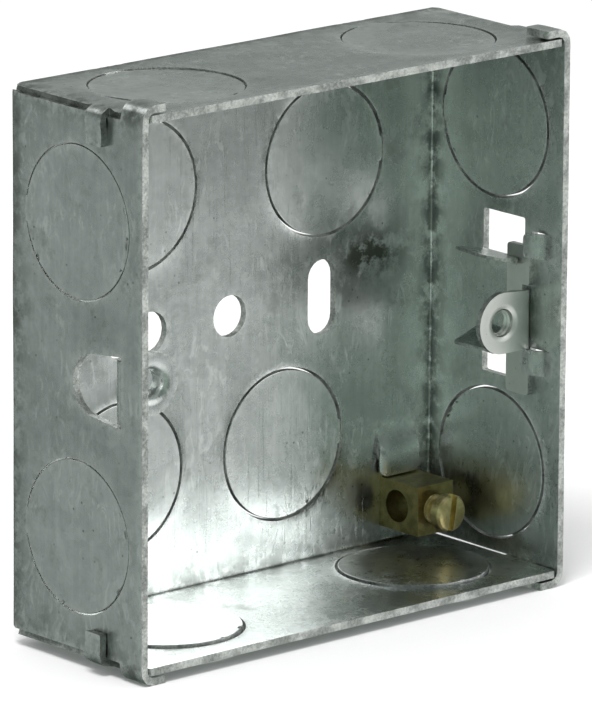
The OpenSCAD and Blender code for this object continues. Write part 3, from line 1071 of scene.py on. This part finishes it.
# Painted shade for the upper back wall.
UPPER_BACK_SHADE = rgb(0.20, 0.21, 0.20)
# Paler zinc for the back of the right wall.
BACK_RIGHT_PALE = rgb(0.90, 0.92, 0.91)
WORN_ZINC = rgb(0.86, 0.87, 0.86)


def galvanised(name, light, dark, swirl, gloss):
    """Zinc-coated sheet: faint spangle, rolling lines, rubbed swirls, specks, dirt with painted shade and a
    painted dark reflection, painted shade over the upper back, paler zinc at the back of the right wall, and
    worn edges.
    """
    p = Paint(name)
    cloud = p.noise(15, 4, rough=0.6)
    mottle = p.noise(2.2, 5, rough=0.72)
    lines = p.noise(0.9, 3, stretch=(0.9, 0.9, 0.05), rough=0.7)
    spangle = p.spread(p.cells(5.5, "Color", warp=0.9), 0.2, 0.8)
    stroke = p.noise(2.4, 4, stretch=(1, 1, 0.4), rough=0.65, distortion=2.6)
    rub = p.math("MULTIPLY", p.spread(stroke, 0.5, 0.68), p.spread(p.noise(11, 2), 0.42, 0.58))
    tone = p.blend(0, (cloud, 0.45), (lines, 0.2), (mottle, 0.35), (spangle, 0.06), (rub, 0.3 * swirl))
    specks = p.math("MULTIPLY", p.spread(p.cells(1.7), 0.13, 0.05), p.spread(p.noise(6, 2), 0.48, 0.6))
    smudge = p.spread(p.noise(5, 5, rough=0.75), 0.55, 0.72)
    # Dirt in the inner corners, with painted shade along the sliding strip and a painted dark reflection
    # beside the tall slot.
    dirt_and_shade_mask = p.math("MULTIPLY", p.attribute("dirt_and_shade"), p.spread(p.noise(2.6, 5, rough=0.7), 0.4, 0.58))
    dirt_and_shade_mask = p.math("MULTIPLY", dirt_and_shade_mask, p.spread(p.along("Y"), -0.3, -0.7))
    # Painted shade: the upper part of the back wall darker.
    upper_back_shade = p.math("MULTIPLY", p.spread(p.along("Z"), 1, 30), p.spread(p.along("Y"), -2.6, -1.8))
    # Paler zinc towards the back of the right wall.
    back_right_pale = p.math("MULTIPLY", p.spread(p.along("X"), 29, 34), p.spread(p.along("Y"), -12, -3))
    back_right_pale = p.math("MULTIPLY", back_right_pale, p.math("SUBTRACT", 0.5, dirt_and_shade_mask, clamp=True))
    worn = p.math("MULTIPLY", p.attribute("edge"), p.spread(p.noise(0.8, 3), 0.3, 0.6))
    colour = p.mix(p.spread(tone, 0.25, 0.95), dark, light)
    colour = p.coat(colour, specks, 0.7, SPECK)
    colour = p.coat(colour, smudge, 0.35, SMUDGE)
    colour = p.coat(colour, dirt_and_shade_mask, 0.75, DIRT_AND_SHADE)
    colour = p.coat(colour, upper_back_shade, 0.5, UPPER_BACK_SHADE)
    colour = p.mix(back_right_pale, colour, BACK_RIGHT_PALE)
    colour = p.coat(colour, worn, 0.6, WORN_ZINC)
    rough = p.blend(gloss, (cloud, 0.14), (rub, 0.14 * swirl), (mottle, 0.1), (smudge, 0.12), (dirt_and_shade_mask, 0.15))
    scratches = p.spread(p.noise(0.5, 2, stretch=(1.6, 1.6, 0.05), distortion=0.6), 0.6, 0.75)
    dents = p.noise(4.5, 2)
    height = p.blend(0, (lines, 0.5), (mottle, 0.9), (dents, 1.2), (rub, 0.4 * swirl), (scratches, -0.25))
    return p.finish(colour, rough, height, 0.07, 0.5)


def sheared(name, light, dark):
    """The cut edge of the sheet: a burnished band broken by dark, torn flecks, with painted shade in the
    seams.
    """
    p = Paint(name)
    fleck = p.spread(p.noise(0.4, 4, rough=0.75), 0.38, 0.6)
    streak = p.spread(p.noise(2.5, 3), 0.35, 0.65)
    tear = p.noise(0.3, 2)
    colour = p.mix(p.blend(0, (fleck, 0.4), (streak, 0.6)), dark, light)
    # Painted shade along the corner seams.
    colour = p.coat(colour, p.attribute("seam"), 0.85, rgb(0.05, 0.055, 0.05))
    return p.finish(colour, p.blend(0.38, (tear, 0.3)), p.math("ADD", fleck, tear), 0.05, 0.5)


def plated(name):
    """The adjustable lug's brighter, smoother zinc plate."""
    p = Paint(name)
    cloud = p.noise(5, 4, rough=0.6)
    fine = p.noise(0.7, 3, stretch=(0.15, 1, 1))
    colour = p.mix(p.spread(cloud, 0.3, 0.7), rgb(0.70, 0.71, 0.69), rgb(0.84, 0.84, 0.80))
    colour = p.coat(colour, p.spread(p.cells(1.6), 0.09, 0.04), 0.4, rgb(0.25, 0.24, 0.2))
    colour = p.coat(colour, p.attribute("edge"), 0.5, rgb(0.9, 0.9, 0.88))
    return p.finish(colour, p.blend(0.3, (cloud, 0.16)), p.math("ADD", fine, cloud), 0.03, 0.5)


def brass(name, light, dark, gloss):
    """Old machined brass: olive tarnish in clouds, brown stains and tool marks."""
    p = Paint(name)
    cloud = p.noise(2.4, 4, rough=0.65)
    marks = p.noise(0.35, 2, stretch=(0.1, 1, 1))
    stain = p.spread(p.noise(1.3, 4, rough=0.7), 0.58, 0.72)
    colour = p.mix(p.spread(cloud, 0.35, 0.68), dark, light)
    colour = p.coat(colour, stain, 0.5, rgb(0.16, 0.11, 0.04))
    return p.finish(colour, p.blend(gloss, (cloud, 0.22)), p.blend(marks, (cloud, 0.6)), 0.05, 0.6)


# ---------------------------------------------------------------- camera, light and stage

CAMERA_AT = Vector((-0.69473, -0.80431, 0.27144))
CAMERA_AZIMUTH = -41.325
CAMERA_ELEVATION = 14.59
CAMERA_ROLL = 0.367
LENS = 427.4
SENSOR = 36.0


def make_camera():
    a, e, r = (math.radians(v) for v in (CAMERA_AZIMUTH, CAMERA_ELEVATION, CAMERA_ROLL))
    back = Vector((math.sin(a) * math.cos(e), -math.cos(a) * math.cos(e), math.sin(e)))
    side = Vector((0, 0, 1)).cross(back).normalized()
    up = back.cross(side)
    right = side * math.cos(r) + up * math.sin(r)
    over = up * math.cos(r) - side * math.sin(r)
    data = bpy.data.cameras.new("camera")
    data.lens = LENS
    data.sensor_width = SENSOR
    data.clip_end = 20
    camera = bpy.data.objects.new("camera", data)
    bpy.context.scene.collection.objects.link(camera)
    camera.matrix_world = Matrix.Translation(CAMERA_AT) @ Matrix((right, over, back)).transposed().to_4x4()
    bpy.context.scene.camera = camera


def make_floor(z):
    mesh = bpy.data.meshes.new("floor")
    corners = [(x * FLOOR_HALF, y * FLOOR_HALF, z) for x, y in ((-1, -1), (1, -1), (1, 1), (-1, 1))]
    mesh.from_pydata(corners, [], [(0, 1, 2, 3)])
    floor = link("floor", mesh)
    floor.visible_glossy = False
    p = Paint("floor_paper")
    grain = p.noise(40, 3)
    colour = p.mix(grain, rgb(0.93, 0.93, 0.93), rgb(0.96, 0.96, 0.96))
    mesh.materials.append(p.finish(colour, 0.9, grain, 0.02, 0.1, 0.0))


# What the metal mirrors: (direction, inner and outer angle in degrees, brightness, tint)
NEUTRAL = (1.0, 1.0, 1.0)
SHADE = (0.80, 1.0, 0.88)
PALE = (0.96, 1.0, 0.99)
SOFTBOX = ((0.64, -0.70, 0.42), 14, 34, 4.7, NEUTRAL)
SURROUNDINGS = [
    ((0.64, -0.73, -0.95), 10, 42, 1.12, NEUTRAL),
    ((-0.64, -0.73, -0.25), 10, 60, 0.36, SHADE),
    ((0.60, 0.70, 0.40), 10, 55, 0.22, NEUTRAL),
    ((-0.64, 0.73, -0.25), 10, 50, 0.24, PALE),
    ((-0.25, 0.73, 0.64), 6, 20, 1.2, NEUTRAL),
    ((0.85, 0.45, -0.30), 10, 36, 0.30, PALE),
    ((0.0, 0.0, 1.0), 10, 50, 0.4, NEUTRAL),
]
GLANCE = 0.32                                 # the softbox's share in a first reflection
DIM = 0.15                                    # brightness of everything else that is mirrored
DAYLIGHT = 0.8                                # even light on what isn't mirrored
KEY_AT = Vector((-0.45, -0.25, 1.1))
KEY_SIZE = 0.4
KEY_POWER = 9
FLOOR_HALF = 6                                # metres


def inside_share(nodes, path):
    """All of the softbox by way of two mirrors, as inside the box, but only a glance of it by one.

    The background counts itself as a bounce, so a first reflection reaches it at ray depth 2.
    """
    first = nodes.math("LESS_THAN", path.outputs["Ray Depth"], 2.5)
    return nodes.blend(1, (first, GLANCE - 1))


def make_world():
    """White to the eye; even daylight on the floor; a softbox and dim surroundings to the metal."""
    world = bpy.data.worlds.new("studio")
    bpy.context.scene.world = world
    world.use_nodes = True
    nodes = Nodes(world.node_tree)
    towards = nodes.add("TexCoord").outputs["Generated"]
    path = nodes.add("LightPath")
    mirrored = Vector(SHADE) * DIM
    for patch in [SOFTBOX] + SURROUNDINGS:
        direction, inner, outer, power, tint = patch
        near = nodes.vector("DOT_PRODUCT", towards, Vector(direction).normalized())
        blob = nodes.spread(near, math.cos(math.radians(outer)), math.cos(math.radians(inner)))
        if patch is SOFTBOX:
            blob = nodes.math("MULTIPLY", blob, inside_share(nodes, path))
        mirrored = nodes.vector("MULTIPLY_ADD", blob, Vector(tint) * power, mirrored)
    lit = nodes.mix(path.outputs["Is Glossy Ray"], rgb(DAYLIGHT, DAYLIGHT, DAYLIGHT), mirrored)
    seen = nodes.mix(path.outputs["Is Camera Ray"], lit, rgb(1.0, 1.0, 1.0))
    nodes.put(nodes.tree.nodes["Background"].inputs["Color"], seen)


def make_light():
    """One square lamp above the box, aimed at it, that lights the floor and is not mirrored."""
    bpy.context.scene.view_settings.view_transform = "Standard"
    data = bpy.data.lights.new("key", "AREA")
    data.size = KEY_SIZE
    data.energy = KEY_POWER
    key = bpy.data.objects.new("key", data)
    key.location = KEY_AT
    key.rotation_euler = KEY_AT.to_track_quat("Z", "Y").to_euler()
    key.visible_glossy = False
    bpy.context.scene.collection.objects.link(key)


# ---------------------------------------------------------------- the whole object

make_camera()
make_floor(CAD_BOX[0].z)
make_world()
make_light()

ZINC = galvanised("zinc_sheet", rgb(0.82, 0.84, 0.83), rgb(0.36, 0.39, 0.38), 0.75, 0.15)
ZINC_BLANK = galvanised("zinc_blank", rgb(0.90, 0.92, 0.91), rgb(0.44, 0.47, 0.46), 0.8, 0.16)
CUT = sheared("sheared_edge", rgb(0.88, 0.88, 0.86), rgb(0.30, 0.31, 0.30))
CUT_BLANK = sheared("sheared_blank_edge", rgb(0.62, 0.63, 0.62), rgb(0.16, 0.17, 0.17))
PLATE = plated("lug_plate_zinc")
BRASS = brass("block_brass", rgb(0.46, 0.38, 0.17), rgb(0.26, 0.22, 0.09), 0.28)
SCREW_BRASS = brass("screw_brass_bright", rgb(0.80, 0.68, 0.36), rgb(0.55, 0.44, 0.2), 0.2)

make_shell(ZINC, CUT)
make_knockouts(ZINC_BLANK, CUT_BLANK)
make_adjustable_lug(PLATE, CUT)
make_block(BRASS)
make_screw(SCREW_BRASS)
